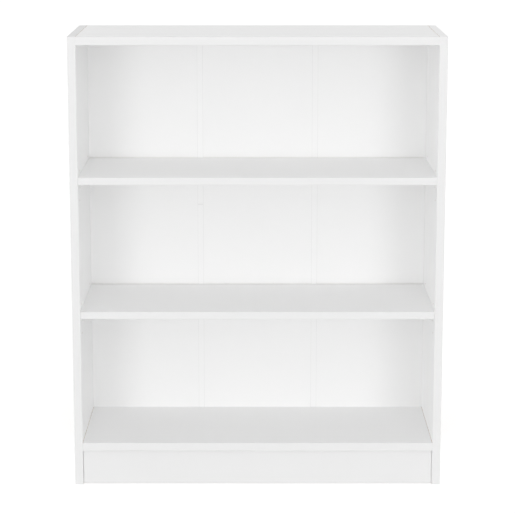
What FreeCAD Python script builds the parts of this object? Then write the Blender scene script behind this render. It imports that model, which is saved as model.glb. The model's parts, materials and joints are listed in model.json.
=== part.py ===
"""Open bookcase of white boards with a plinth, a three-part back and two loose shelves.

The case stands on its sides, faces -Y and is centred on the origin at floor level.
Lengths are in millimetres.
"""
import FreeCAD, Part
import os
import re
import Sketcher

# Driving dimensions: name, value and what it measures.
DIMENSIONS = (
    ("overall_width", 800, "case, across the outer faces of the sides"),
    ("overall_height", 980, "floor to top of the sides"),
    ("overall_depth", 300, "front of the edging to rear edge of the sides"),
    ("side_thickness", 18, "side panels"),
    ("top_thickness", 18, "top panel"),
    ("bottom_thickness", 18, "bottom panel"),
    ("shelf_thickness", 16, "loose shelves"),
    ("edging_thickness", 1, "strip glued on each front edge and on the top ends of the sides"),
    ("edging_radius", 0.8, "rounding along the front edging"),
    ("plinth_height", 77, "floor to underside of the bottom panel"),
    ("plinth_thickness", 16, "plinth board"),
    ("plinth_setback", 8, "case front to plinth face"),
    ("plinth_end_gap", 0.8, "plinth end to side panel"),
    ("plinth_floor_gap", 1, "floor to lower edge of the plinth"),
    ("shelf_pitch", 293, "one shelf surface to the next"),
    ("shelf_setback", 1.5, "case front to front of a loose shelf"),
    ("shelf_end_gap", 0.3, "loose shelf end to side panel"),
    ("shelf_rear_gap", 1.2, "loose shelf to joining strips"),
    ("back_thickness", 3, "hardboard back panels"),
    ("back_inset", 8, "rear edge of the sides to the back groove"),
    ("groove_depth", 7, "back groove in sides and top"),
    ("groove_gap", 0.2, "face of a back panel to its groove or channel"),
    ("panel_edge_gap", 0.5, "edge of a back panel to the floor of its groove or channel"),
    ("strip_width", 13, "joining strip, across its flanges"),
    ("strip_flange", 1, "joining strip flange"),
    ("strip_web", 1.4, "joining strip web"),
    ("strip_end_gap", 0.3, "joining strip to top panel"),
    ("strip_split_height", 574, "floor to the butt joint in the left joining strip"),
    ("strip_split_gap", 0.5, "gap in that butt joint"),
    ("fixing_row", 32, "case front, or back, to the first row of fixings, and on to the second"),
    ("fixing_gap", 0.05, "round a fixing in its hole"),
    ("hole_end_gap", 1, "past the end of a fixing in its hole"),
    ("cam_distance", 24, "board end to cam lock axis"),
    ("cam_diameter", 15, "cam lock"),
    ("cam_gap", 0.3, "bolt neck and head to the cam lock round them"),
    ("cam_slot_length", 8.5, "screwdriver slot"),
    ("cam_slot_width", 1.6, "screwdriver slot"),
    ("cam_slot_depth", 2.5, "screwdriver slot"),
    ("bolt_thread_diameter", 5, "cam bolt, end screwed into the side"),
    ("bolt_thread_length", 11, "cam bolt, end screwed into the side"),
    ("bolt_collar_diameter", 7.5, "cam bolt collar, against the side"),
    ("bolt_collar_length", 1.6, "cam bolt collar"),
    ("bolt_shank_diameter", 6, "cam bolt shank"),
    ("bolt_neck_diameter", 4, "cam bolt neck, which the cam lock goes round"),
    ("bolt_head_diameter", 6.4, "cam bolt head, inside the cam lock"),
    ("bolt_head_length", 3.4, "cam bolt head"),
    ("dowel_diameter", 8, "wooden dowels"),
    ("dowel_length", 30, "wooden dowels"),
    ("dowel_seat", 10, "length of a dowel in a board's face"),
    ("dowel_chamfer", 1, "dowel ends"),
    ("nail_diameter", 1.6, "back nails"),
    ("nail_length", 20, "back nails, under the head"),
    ("nail_point", 2.5, "back nails, tapered end"),
    ("nail_head_diameter", 4.2, "back nails"),
    ("nail_head_thickness", 0.7, "back nails"),
    ("nail_inset", 28, "edge of a back panel to its outer nails"),
    ("block_length", 40, "plinth corner block"),
    ("block_width", 20, "plinth corner block, along each board"),
    ("block_chamfer", 9, "plinth corner block, free edge"),
    ("block_inset", 110, "inner face of a side to the middle of a corner block"),
    ("block_screw_offset", 9, "middle of a corner block to each screw"),
    ("block_seat", 8, "corner block left under a screw head"),
    ("screw_diameter", 3.5, "corner block screws"),
    ("screw_length", 19, "corner block screws, under the head"),
    ("screw_point", 4, "corner block screws, tapered end"),
    ("screw_head_diameter", 7, "corner block screws"),
    ("screw_head_height", 2.4, "corner block screws"),
    ("screw_head_gap", 0.5, "round a screw head in its counterbore"),
    ("support_row", 40, "case front, or back, to the shelf supports"),
    ("support_pitch", 32, "one support hole to the next above it"),
    ("support_peg_diameter", 5, "shelf support peg"),
    ("support_peg_length", 9, "shelf support peg"),
    ("support_peg_drop", 7, "shelf underside to peg axis"),
    ("support_width", 9, "shelf support, along the side"),
    ("support_reach", 10, "shelf support, under the shelf"),
    ("support_leg", 12, "shelf support, down the side"),
    ("support_plate", 2, "shelf support tab and leg"),
    ("support_fillet", 6, "shelf support, inside corner"),
)

# Lengths that follow from the driving dimensions.
# Those ending in _row, _face and _rear run back from the case front.
DERIVED = {
    "half_width": "overall_width / 2",
    "inner_width": "overall_width - 2 * side_thickness",
    "half_inner": "inner_width / 2",
    "case_front": "-overall_depth / 2",
    "groove_width": "back_thickness + 2 * groove_gap",
    "groove_face": "overall_depth - back_inset - groove_width",
    "back_face": "groove_face + groove_gap",
    "strip_face": "groove_face - strip_flange",
    "top_underside": "overall_height - top_thickness",
    "bottom_surface": "plinth_height + bottom_thickness",
    "lower_underside": "bottom_surface + shelf_pitch - shelf_thickness",
    "upper_underside": "bottom_surface + 2 * shelf_pitch - shelf_thickness",
    "shelf_length": "inner_width - 2 * shelf_end_gap",
    "shelf_front": "shelf_setback + edging_thickness",
    "back_height": "top_underside + groove_depth - panel_edge_gap - plinth_height",
    "panel_width": "(inner_width + 2 * groove_depth - 6 * panel_edge_gap - 2 * strip_web) / 3",
    "panel_step": "panel_width + 2 * panel_edge_gap + strip_web",
    "strip_place": "panel_step / 2",
    "front_dowel_row": "fixing_row",
    "front_cam_row": "2 * fixing_row",
    "rear_cam_row": "back_face - 2 * fixing_row",
    "rear_dowel_row": "back_face - fixing_row",
    "front_support_row": "support_row",
    "rear_support_row": "back_face - support_row",
    "dowel_hole": "dowel_diameter + 2 * fixing_gap",
    "dowel_seat_depth": "dowel_seat + hole_end_gap",
    "dowel_reach": "dowel_length - dowel_seat + hole_end_gap",
    "bolt_head_start": "cam_distance - bolt_head_length",
    "bolt_neck_start": "cam_distance - cam_diameter / 2 - cam_gap",
    "cam_chamber": "2 * (sqrt(bolt_head_length ^ 2 + bolt_head_diameter ^ 2 / 4) + cam_gap)",
    "cam_reach": "bolt_head_diameter / 2 + cam_gap",
    "neck_slot": "bolt_neck_diameter / 2 + cam_gap",
    "nail_hole": "nail_diameter + 2 * fixing_gap",
    "nail_step": "panel_width / 2 - nail_inset",
    "plinth_length": "inner_width - 2 * plinth_end_gap",
    "plinth_board_height": "plinth_height - plinth_floor_gap",
    "plinth_middle_row": "plinth_setback + plinth_thickness / 2",
    "plinth_rear": "plinth_setback + plinth_thickness",
    "plinth_dowel_place": "inner_width / 4",
    "block_place": "half_inner - block_inset",
    "screw_hole": "screw_diameter + 2 * fixing_gap",
    "screw_counterbore": "screw_head_diameter + 2 * screw_head_gap",
    "screw_depth": "screw_length - block_seat + hole_end_gap",
    "support_hole": "support_peg_diameter + 2 * fixing_gap",
}

SIZE_NAMES = {name for name, value, meaning in DIMENSIONS}
FILLET_LIMIT = 0.9
CAM_NECK_ARC = 190
NEAR = 1e-4

UPRIGHT = FreeCAD.Rotation()
UPSIDE_DOWN = FreeCAD.Rotation(FreeCAD.Vector(1, 0, 0), 180)
HALF_TURN = FreeCAD.Rotation(FreeCAD.Vector(0, 0, 1), 180)
ALONG_X = FreeCAD.Rotation(FreeCAD.Vector(0, 1, 0), 90)
AGAINST_X = FreeCAD.Rotation(FreeCAD.Vector(0, 1, 0), -90)
ALONG_Y = FreeCAD.Rotation(FreeCAD.Vector(1, 0, 0), -90)

DOWEL_ROWS = ("front_dowel_row", "rear_dowel_row")
CAM_ROWS = ("front_cam_row", "rear_cam_row")
SUPPORT_ROWS = {"front": "front_support_row", "rear": "rear_support_row"}
SHELVES = {"lower": "lower_underside", "upper": "upper_underside"}
FIXED_BOARDS = {"top": ("top_underside", "top_thickness"), "bottom": ("plinth_height", "bottom_thickness")}
BACK_PANELS = {"left": -1, "centre": 0, "right": 1}
NAIL_STEPS = (-1, 0, 1)
SIDES = {"left": -1, "right": 1}

doc = FreeCAD.newDocument("bookcase")
sheet = doc.addObject("Spreadsheet::Sheet", "Dimensions")
for row, (size_name, size_value, size_meaning) in enumerate(DIMENSIONS, 1):
    sheet.set(f"A{row}", size_name)
    sheet.set(f"B{row}", str(size_value))
    sheet.set(f"C{row}", size_meaning)
    sheet.setAlias(f"B{row}", size_name)
doc.recompute()

subparts = []


def sized(text):
    """Turn a formula in plain size names into one that reads the spreadsheet."""

    def swap(match):
        word = match.group(0)
        if word in SIZE_NAMES:
            return f"Dimensions.{word}"
        if word in DERIVED:
            return f"({sized(DERIVED[word])})"
        return word

    return re.sub(r"[a-z_]+", swap, text)


def place(item, x="0", y="0", z="0"):
    """Bind an object's position to formulas; y runs back from the front of the case."""
    for axis, text in (("x", x), ("y", f"case_front + {y}"), ("z", z)):
        item.setExpression(f"Placement.Base.{axis}", sized(text))


def keep(item, label):
    """List an object as a sub-part of the bookcase under its own name."""
    item.Label = label
    subparts.append(item)
    return item


def new_body(name):
    """Empty body for one piece."""
    return doc.addObject("PartDesign::Body", name)


def origin_plane(body, role):
    """One of the body's own origin planes."""
    return next(item for item in body.Origin.OriginFeatures if item.Role == role)


def new_sketch(body, name, role, offset="0"):
    """Sketch on one of the body's own origin planes, moved along the plane's normal by a formula."""
    sketch = body.newObject("Sketcher::SketchObject", f"{body.Name}_{name}")
    sketch.AttachmentSupport = [(origin_plane(body, role), "")]
    sketch.MapMode = "FlatFace"
    sketch.setExpression("AttachmentOffset.Base.z", sized(offset))
    return sketch


def dimension(sketch, kind, parts, text):
    """Add a dimension to a sketch and bind it to a formula."""
    index = sketch.addConstraint(Sketcher.Constraint(kind, *parts, 1.0))
    name = f"size_{index}"
    sketch.renameConstraint(index, name)
    sketch.setExpression(f"Constraints.{name}", sized(text))


def locate(sketch, geometry, point, x, y):
    """Fix a point of a sketch: "0" lies on the axis, anything else is a signed distance from it."""
    for text, kind, axis in ((x, "DistanceX", -2), (y, "DistanceY", -1)):
        if text == "0":
            sketch.addConstraint(Sketcher.Constraint("PointOnObject", geometry, point, axis))
        else:
            dimension(sketch, kind, (-1, 1, geometry, point), text)


def outline(sketch, points):
    """Closed outline through corners given as pairs of formulas."""
    count = len(points)
    for index in range(count):
        start = FreeCAD.Vector(index, index * index, 0)
        end = FreeCAD.Vector(index + 1, (index + 1) * (index + 1), 0)
        sketch.addGeometry(Part.LineSegment(start, end), False)
    for index, (x, y) in enumerate(points):
        locate(sketch, index, 1, x, y)
        sketch.addConstraint(Sketcher.Constraint("Coincident", index, 2, (index + 1) % count, 1))


def rectangle(sketch, left, bottom, width, height):
    """Rectangle from its lower left corner and its size."""
    right = f"{left} + {width}"
    top = f"{bottom} + {height}"
    outline(sketch, [(left, bottom), (right, bottom), (right, top), (left, top)])


def circles(sketch, diameter, centres):
    """Circles of one diameter at the given centres."""
    for x, y in centres:
        index = sketch.addGeometry(Part.Circle(FreeCAD.Vector(1, 1, 0), FreeCAD.Vector(0, 0, 1), 1), False)
        locate(sketch, index, 3, x, y)
        dimension(sketch, "Diameter", (index,), diameter)


def pad(body, sketch, length, reverse=False, middle=False):
    """Raise a sketch along its normal, against it, or equally to both sides."""
    feature = body.newObject("PartDesign::Pad", f"{sketch.Name}_pad")
    feature.Profile = sketch
    feature.setExpression("Length", sized(length))
    feature.Reversed = reverse
    feature.Midplane = middle
    return feature


def pocket(body, sketch, depth, reverse=False):
    """Cut a sketch into the body, against the sketch's normal unless reversed."""
    feature = body.newObject("PartDesign::Pocket", f"{sketch.Name}_pocket")
    feature.Profile = sketch
    feature.setExpression("Length", sized(depth))
    feature.Reversed = reverse
    return feature


def turned(name, points):
    """Piece turned about its own Z axis, from pairs of radius and height."""
    body = new_body(name)
    sketch = new_sketch(body, "profile", "XZ_Plane")
    outline(sketch, points)
    feature = body.newObject("PartDesign::Revolution", f"{name}_turned")
    feature.Profile = sketch
    feature.ReferenceAxis = (sketch, ["V_Axis"])
    feature.Angle = 360
    return body


def fillet(body, radius, picks):
    """Round the edges of the body that a test picks."""
    doc.recompute()
    base = body.Tip
    names = [f"Edge{number}" for number, edge in enumerate(base.Shape.Edges, 1) if picks(edge.BoundBox)]
    feature = body.newObject("PartDesign::Fillet", f"{body.Name}_rounding")
    feature.Base = (base, names)
    feature.setExpression("Radius", sized(radius))


def mirror_cuts(body, cuts):
    """Repeat cuts on the other half of a board that is centred on its own YZ plane."""
    feature = body.newObject("PartDesign::Mirrored", f"{cuts[0].Name}_mirrored")
    feature.Originals = cuts
    feature.MirrorPlane = (origin_plane(body, "YZ_Plane"), [""])
    body.Tip = feature


def mirror_piece(label, source):
    """Right-hand copy of a left-hand piece, across the middle of the case."""
    item = doc.addObject("Part::Mirroring", label)
    item.Source = source
    item.Normal = FreeCAD.Vector(1, 0, 0)
    return keep(item, label)


def copies(label, master, places):
    """Copies of one master as separate solids of one sub-part: each place is x, y, z and a rotation."""
    links = []
    for number, (x, y, z, rotation) in enumerate(places, 1):
        link = doc.addObject("App::Link", f"{label}_{number}")
        link.LinkedObject = master
        link.Placement = FreeCAD.Placement(FreeCAD.Vector(), rotation)
        place(link, x, y, z)
        links.append(link)
    item = doc.addObject("Part::Compound", f"{label}_group")
    item.Links = links
    return keep(item, label)


def in_core(row):
    """Place on a board whose core starts behind its front edging."""
    return f"{row} - edging_thickness"


def both_ways(reach):
    """The same distance to the left and to the right of the middle of the case."""
    return [f"{way} * {reach}" for way in SIDES.values()]


def side_panels():
    """Side boards with the back groove, fixing holes and three heights of support holes for each shelf."""
    body = new_body("left_side_panel")
    core_depth = "overall_depth - edging_thickness"
    core_height = "overall_height - edging_thickness"
    face = new_sketch(body, "face", "YZ_Plane")
    rectangle(face, "0", "0", core_depth, core_height)
    pad(body, face, "side_thickness")

    groove = new_sketch(body, "groove", "YZ_Plane", "side_thickness")
    rectangle(groove, in_core("groove_face"), "0", "groove_width", core_height)
    pocket(body, groove, "groove_depth")

    levels = [f"{underside} + {thickness} / 2" for underside, thickness in FIXED_BOARDS.values()]
    support_levels = [
        f"{underside} - support_peg_drop + {step} * support_pitch"
        for underside in SHELVES.values()
        for step in (-1, 0, 1)
    ]
    drillings = (
        ("dowel_holes", "dowel_hole", "dowel_seat_depth", DOWEL_ROWS, levels),
        ("bolt_holes", "bolt_thread_diameter + 2 * fixing_gap", "bolt_thread_length + hole_end_gap",
         CAM_ROWS, levels),
        ("support_holes", "support_hole", "support_peg_length + hole_end_gap",
         SUPPORT_ROWS.values(), support_levels),
    )
    for name, diameter, depth, rows, heights in drillings:
        holes = new_sketch(body, name, "YZ_Plane", "side_thickness")
        circles(holes, diameter, [(in_core(row), height) for row in rows for height in heights])
        pocket(body, holes, depth)
    place(body, "-half_width", "edging_thickness")
    keep(body, "left_side_panel")
    mirror_piece("right_side_panel", body)


def round_front(body, run):
    """Round the front edges of an edging strip that run along the named axis."""

    def on_front(box):
        return box.YMax < NEAR and getattr(box, f"{run}Length") > NEAR

    fillet(body, f"min(edging_radius; {FILLET_LIMIT} * edging_thickness)", on_front)


def side_edgings():
    """Front edging over the full height of each side, and flat edging on each top end behind it."""
    front = new_body("left_side_front_edging")
    profile = new_sketch(front, "profile", "XY_Plane")
    rectangle(profile, "0", "0", "side_thickness", "edging_thickness")
    pad(front, profile, "overall_height")
    round_front(front, "Z")
    place(front, "-half_width")
    keep(front, "left_side_front_edging")
    mirror_piece("right_side_front_edging", front)

    top = new_body("left_side_top_edging")
    strip = new_sketch(top, "strip", "XY_Plane")
    rectangle(strip, "0", "0", "side_thickness", "overall_depth - edging_thickness")
    pad(top, strip, "edging_thickness")
    place(top, "-half_width", "edging_thickness", "overall_height - edging_thickness")
    keep(top, "left_side_top_edging")
    mirror_piece("right_side_top_edging", top)


def board_edging(label, length, thickness, front, underside):
    """Front edging of a lying board."""
    body = new_body(label)
    profile = new_sketch(body, "profile", "YZ_Plane")
    rectangle(profile, "0", "0", "edging_thickness", thickness)
    pad(body, profile, length, middle=True)
    round_front(body, "X")
    place(body, "0", front, underside)
    keep(body, label)


def lying_board(label, length, depth, thickness):
    """Board centred on its length, with its core's front edge on its own X axis."""
    body = new_body(label)
    face = new_sketch(body, "face", "XY_Plane")
    rectangle(face, f"-({length}) / 2", "0", length, depth)
    pad(body, face, thickness)
    return keep(body, label)


def fixed_board(name, depth):
    """Board between the sides, with cam bores below and bolt and dowel holes in both ends."""
    underside, thickness = FIXED_BOARDS[name]
    body = lying_board(f"{name}_panel", "inner_width", in_core(depth), thickness)
    bores = new_sketch(body, "cam_bores", "XY_Plane")
    centres = [("half_inner - cam_distance", in_core(row)) for row in CAM_ROWS]
    circles(bores, "cam_diameter + 2 * fixing_gap", centres)
    cuts = [pocket(body, bores, f"{thickness} / 2 + cam_reach", reverse=True)]
    for fixing, rows, reach in (("bolt", CAM_ROWS, "cam_distance"), ("dowel", DOWEL_ROWS, "dowel_reach")):
        holes = new_sketch(body, f"{fixing}_holes", "YZ_Plane", "half_inner")
        circles(holes, "dowel_hole", [(in_core(row), f"{thickness} / 2") for row in rows])
        cuts.append(pocket(body, holes, reach))
    mirror_cuts(body, cuts)
    place(body, "0", "edging_thickness", underside)
    board_edging(f"{name}_panel_edging", "inner_width", thickness, "0", underside)
    return body


def top_panel():
    """Top board of full depth, grooved below for the upper edges of the back."""
    body = fixed_board("top", "overall_depth")
    groove = new_sketch(body, "groove", "XY_Plane")
    rectangle(groove, "-half_inner", in_core("groove_face"), "inner_width", "groove_width")
    pocket(body, groove, "groove_depth", reverse=True)


def bottom_panel():
    """Bottom board that stops at the back, drilled below for the plinth fixings and behind for nails."""
    body = fixed_board("bottom", "back_face")
    dowels = new_sketch(body, "plinth_dowel_holes", "XY_Plane")
    dowel_row = in_core("plinth_middle_row")
    circles(dowels, "dowel_hole", [(across, dowel_row) for across in both_ways("plinth_dowel_place")])
    pocket(body, dowels, "dowel_seat_depth", reverse=True)

    screws = new_sketch(body, "block_screw_holes", "XY_Plane")
    screw_row = in_core("plinth_rear + block_width / 2")
    centres = [(f"{across} - block_screw_offset", screw_row) for across in both_ways("block_place")]
    circles(screws, "screw_hole", centres)
    pocket(body, screws, "screw_depth", reverse=True)

    nails = new_sketch(body, "nail_holes", "XZ_Plane", f"-({in_core('back_face')})")
    circles(nails, "nail_hole", [(place_x, "bottom_thickness / 2") for place_x in nail_places()])
    pocket(body, nails, "nail_length - back_thickness + hole_end_gap", reverse=True)


def nail_places():
    """Places of the nails across the case, three to each back panel."""
    return [
        f"{panel} * panel_step + {step} * nail_step"
        for panel in BACK_PANELS.values()
        for step in NAIL_STEPS
    ]


def plinth_board():
    """Board under the front of the bottom panel, drilled above for dowels and behind for the block screws."""
    body = new_body("plinth_board")
    face = new_sketch(body, "face", "XZ_Plane")
    rectangle(face, "-plinth_length / 2", "0", "plinth_length", "plinth_board_height")
    pad(body, face, "plinth_thickness", reverse=True)
    dowels = new_sketch(body, "dowel_holes", "XY_Plane", "plinth_board_height")
    centres = [(across, "plinth_thickness / 2") for across in both_ways("plinth_dowel_place")]
    circles(dowels, "dowel_hole", centres)
    pocket(body, dowels, "dowel_reach")
    screws = new_sketch(body, "screw_holes", "XZ_Plane", "-plinth_thickness")
    screw_level = "plinth_board_height - block_width / 2"
    centres = [(f"{across} + block_screw_offset", screw_level) for across in both_ways("block_place")]
    circles(screws, "screw_hole", centres)
    pocket(body, screws, "screw_depth", reverse=True)
    place(body, "0", "plinth_setback", "plinth_floor_gap")
    keep(body, "plinth_board")


def back_panels():
    """Three like hardboard panels side by side, held in the grooves and nailed to the bottom panel."""
    for name, step in BACK_PANELS.items():
        body = new_body(f"back_panel_{name}")
        face = new_sketch(body, "face", "XZ_Plane")
        rectangle(face, "-panel_width / 2", "0", "panel_width", "back_height")
        pad(body, face, "back_thickness", reverse=True)
        holes = new_sketch(body, "nail_holes", "XZ_Plane")
        circles(holes, "nail_hole", [(f"{nail} * nail_step", "bottom_thickness / 2") for nail in NAIL_STEPS])
        pocket(body, holes, "back_thickness")
        place(body, f"{step} * panel_step", "back_face", "plinth_height")
        keep(body, f"back_panel_{name}")


def joining_strip(label, across, foot, head):
    """Length of H-section strip whose two channels take the edges of neighbouring back panels."""
    body = new_body(label)
    section = new_sketch(body, "section", "XY_Plane")
    flange, web = "strip_width / 2", "strip_web / 2"
    channel, depth = "strip_flange + groove_width", "2 * strip_flange + groove_width"
    right = [
        (flange, "0"), (flange, "strip_flange"), (web, "strip_flange"),
        (web, channel), (flange, channel), (flange, depth),
    ]
    left = [(f"-({x})", y) for x, y in reversed(right)]
    outline(section, right + left)
    pad(body, section, f"{head} - ({foot})")
    place(body, across, "strip_face", foot)
    keep(body, label)


def joining_strips():
    """The right strip is one length; the left one is two lengths that meet below the upper shelf."""
    foot, head = "bottom_surface", "top_underside - strip_end_gap"
    joining_strip("back_strip_right", "strip_place", foot, head)
    joining_strip("back_strip_left_lower", "-strip_place", foot, "strip_split_height")
    joining_strip("back_strip_left_upper", "-strip_place", "strip_split_height + strip_split_gap", head)


def cam_lock(name, bolt_level):
    """Disc that turns round the bolt head: a chamber, a neck slot round one side and a cross slot below."""
    body = new_body(name)
    height = f"{bolt_level} + cam_reach"
    disc = new_sketch(body, "disc", "XY_Plane")
    circles(disc, "cam_diameter", [("0", "0")])
    pad(body, disc, height)

    chamber = new_sketch(body, "chamber", "XY_Plane", height)
    circles(chamber, "cam_chamber", [("0", "0")])
    pocket(body, chamber, "2 * cam_reach")

    entry = new_sketch(body, "head_entry", "XY_Plane", height)
    rectangle(entry, "-cam_reach", "0", "2 * cam_reach", "cam_diameter")
    pocket(body, entry, "2 * cam_reach")

    neck = new_sketch(body, "neck_slot", "XZ_Plane")
    foot = f"{bolt_level} - neck_slot"
    rectangle(neck, "cam_chamber / 4", foot, "cam_diameter", "neck_slot + 2 * cam_reach")
    groove = body.newObject("PartDesign::Groove", f"{name}_neck_groove")
    groove.Profile = neck
    groove.ReferenceAxis = (neck, ["V_Axis"])
    groove.Angle = CAM_NECK_ARC
    groove.Midplane = True

    arms = {"across": ("cam_slot_length", "cam_slot_width"), "along": ("cam_slot_width", "cam_slot_length")}
    for arm, (across, along) in arms.items():
        slot = new_sketch(body, f"driver_slot_{arm}", "XY_Plane")
        rectangle(slot, f"-{across} / 2", f"-{along} / 2", across, along)
        pocket(body, slot, "cam_slot_depth", reverse=True)
    return body


def cam_bolt():
    """Bolt turned from its threaded end up: thread, collar, shank, neck and head."""
    thread, collar, shank, neck, head = (
        f"bolt_{part}_diameter / 2" for part in ("thread", "collar", "shank", "neck", "head")
    )
    face = "bolt_thread_length"
    collar_end = f"{face} + bolt_collar_length"
    neck_start = f"{face} + bolt_neck_start"
    head_start = f"{face} + bolt_head_start"
    end = f"{face} + cam_distance"
    steps = ((thread, "0", face), (collar, face, collar_end), (shank, collar_end, neck_start),
             (neck, neck_start, head_start), (head, head_start, end))
    corners = [(radius, level) for radius, low, high in steps for level in (low, high)]
    return turned("cam_bolt", [("0", "0")] + corners + [("0", end)])


def dowel():
    """Dowel with chamfered ends."""
    radius, tip = "dowel_diameter / 2", "dowel_diameter / 2 - dowel_chamfer"
    end = "dowel_length"
    ends = [("0", "0"), (tip, "0"), (radius, "dowel_chamfer")]
    return turned("dowel", ends + [(radius, f"{end} - dowel_chamfer"), (tip, end), ("0", end)])


def headed_pin(name, radius, length, point, head_radius, head_height):
    """Nail or screw turned from its point up, with a flat head."""
    top = f"{length} + {head_height}"
    pin = [("0", "0"), (radius, point), (radius, length)]
    return turned(name, pin + [(head_radius, length), (head_radius, top), ("0", top)])


def case_fixings():
    """Cam locks, cam bolts and dowels at the ends of the top and bottom panels."""
    bolt, peg = cam_bolt(), dowel()
    for name, (underside, thickness) in FIXED_BOARDS.items():
        lock = cam_lock(f"{name}_cam_lock", f"{thickness} / 2")
        middle = f"{underside} + {thickness} / 2"
        turned_ends = ((-1, HALF_TURN), (1, UPRIGHT))
        lying_ends = ((-1, ALONG_X), (1, AGAINST_X))
        for kind, master, reach, rows, level, ends in (
            ("cam_locks", lock, "half_inner - cam_distance", CAM_ROWS, underside, turned_ends),
            ("cam_bolts", bolt, "half_inner + bolt_thread_length", CAM_ROWS, middle, lying_ends),
            ("dowels", peg, "half_inner + dowel_seat", DOWEL_ROWS, middle, lying_ends),
        ):
            places = [(f"{way} * ({reach})", row, level, turn) for way, turn in ends for row in rows]
            copies(f"{name}_{kind}", master, places)
    low = "plinth_height + dowel_seat - dowel_length"
    places = [(across, "plinth_middle_row", low, UPRIGHT) for across in both_ways("plinth_dowel_place")]
    copies("plinth_dowels", peg, places)


def back_nails():
    """Nails through the back panels into the rear edge of the bottom panel."""
    nail = headed_pin(
        "nail", "nail_diameter / 2", "nail_length", "nail_point",
        "nail_head_diameter / 2", "nail_head_thickness",
    )
    tip = "back_face + back_thickness - nail_length"
    level = "plinth_height + bottom_thickness / 2"
    copies("back_panel_nails", nail, [(across, tip, level, ALONG_Y) for across in nail_places()])


def corner_blocks():
    """Blocks behind the plinth, each screwed up into the bottom panel and forward into the plinth."""
    block = new_body("corner_block")
    section = new_sketch(block, "section", "YZ_Plane")
    width = "block_width"
    cut = "block_width - block_chamfer"
    outline(section, [("0", "0"), (cut, "0"), (width, "block_chamfer"), (width, width), ("0", width)])
    pad(block, section, "block_length", middle=True)
    bores = {"hole": ("screw_hole", width), "counterbore": ("screw_counterbore", f"{width} - block_seat")}
    for name, role, offset, across in (
        ("upward", "XY_Plane", "0", "-block_screw_offset"),
        ("forward", "XZ_Plane", "-block_width", "block_screw_offset"),
    ):
        for kind, (diameter, depth) in bores.items():
            hole = new_sketch(block, f"{name}_{kind}", role, offset)
            circles(hole, diameter, [(across, "block_width / 2")])
            pocket(block, hole, depth, reverse=True)
    places = both_ways("block_place")
    foot = "plinth_height - block_width"
    copies("plinth_corner_blocks", block, [(across, "plinth_rear", foot, UPRIGHT) for across in places])

    screw = headed_pin(
        "screw", "screw_diameter / 2", "screw_length", "screw_point",
        "screw_head_diameter / 2", "screw_head_height",
    )
    row, rise = "plinth_rear + block_width / 2", "plinth_height - block_seat + screw_length"
    reach, level = "plinth_rear + block_seat - screw_length", "plinth_height - block_width / 2"
    upward = [(f"{across} - block_screw_offset", row, rise, UPSIDE_DOWN) for across in places]
    forward = [(f"{across} + block_screw_offset", reach, level, ALONG_Y) for across in places]
    copies("corner_block_screws", screw, upward + forward)


def shelf_support():
    """L-shaped support: a tab under the shelf, a leg down the side with a curved corner, and a peg."""
    body = new_body("shelf_support")
    section = new_sketch(body, "section", "XZ_Plane")
    reach, plate, leg, tab = "support_reach", "support_plate", "support_leg", "support_leg - support_plate"
    outline(section, [("0", "0"), (plate, "0"), (plate, tab), (reach, tab), (reach, leg), ("0", leg)])
    pad(body, section, "support_width", middle=True)
    peg = new_sketch(body, "peg", "YZ_Plane")
    circles(peg, "support_peg_diameter", [("0", "support_leg - support_peg_drop")])
    pad(body, peg, "support_peg_length", reverse=True)

    doc.recompute()
    plate_size, leg_size = sheet.get("support_plate"), sheet.get("support_leg")

    def inside_corner(box):
        along_y = box.XLength < NEAR and box.ZLength < NEAR
        return along_y and abs(box.XMin - plate_size) < NEAR and abs(box.ZMin - leg_size + plate_size) < NEAR

    limit = f"{FILLET_LIMIT} * (min(support_reach; support_leg) - support_plate)"
    fillet(body, f"min(support_fillet; {limit})", inside_corner)
    return body


def loose_shelves():
    """Two shelves, each with front edging and four supports in the side panels."""
    support = shelf_support()
    for name, underside in SHELVES.items():
        depth = "strip_face - shelf_rear_gap - shelf_front"
        shelf = lying_board(f"{name}_shelf", "shelf_length", depth, "shelf_thickness")
        place(shelf, "0", "shelf_front", underside)
        board_edging(f"{name}_shelf_edging", "shelf_length", "shelf_thickness", "shelf_setback", underside)
        for end, row in SUPPORT_ROWS.items():
            for side, way in SIDES.items():
                turn = UPRIGHT if way < 0 else HALF_TURN
                spot = (f"{way} * half_inner", row, f"{underside} - support_leg", turn)
                copies(f"{name}_shelf_support_{end}_{side}", support, [spot])


def check_model():
    """Stop if any object failed, any cut missed its board or any sub-part has no sound shape."""
    for item in doc.Objects:
        if {"Invalid", "Error"} & set(item.State):
            raise RuntimeError(f"{item.Name} failed: {item.State}")
        if item.TypeId in ("PartDesign::Pocket", "PartDesign::Groove"):
            if item.Shape.Volume > item.BaseFeature.Shape.Volume - NEAR:
                raise RuntimeError(f"{item.Name} cuts nothing")
    for item in subparts:
        if item.Shape.isNull() or not item.Shape.isValid():
            raise RuntimeError(f"{item.Label} has no sound shape")


side_panels()
side_edgings()
top_panel()
bottom_panel()
plinth_board()
back_panels()
joining_strips()
case_fixings()
back_nails()
corner_blocks()
loose_shelves()
doc.recompute()
check_model()

os.makedirs("parts", exist_ok=True)
for item in subparts:
    item.Shape.exportStep(f"parts/{item.Label}.step")
print(f"{len(subparts)} sub-parts, {sum(len(item.Shape.Solids) for item in subparts)} solids")
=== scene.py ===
"""Looks of an open white bookcase: faced boards, edging, hardboard back, strips, fixings and a stage."""
import json
import math

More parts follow.
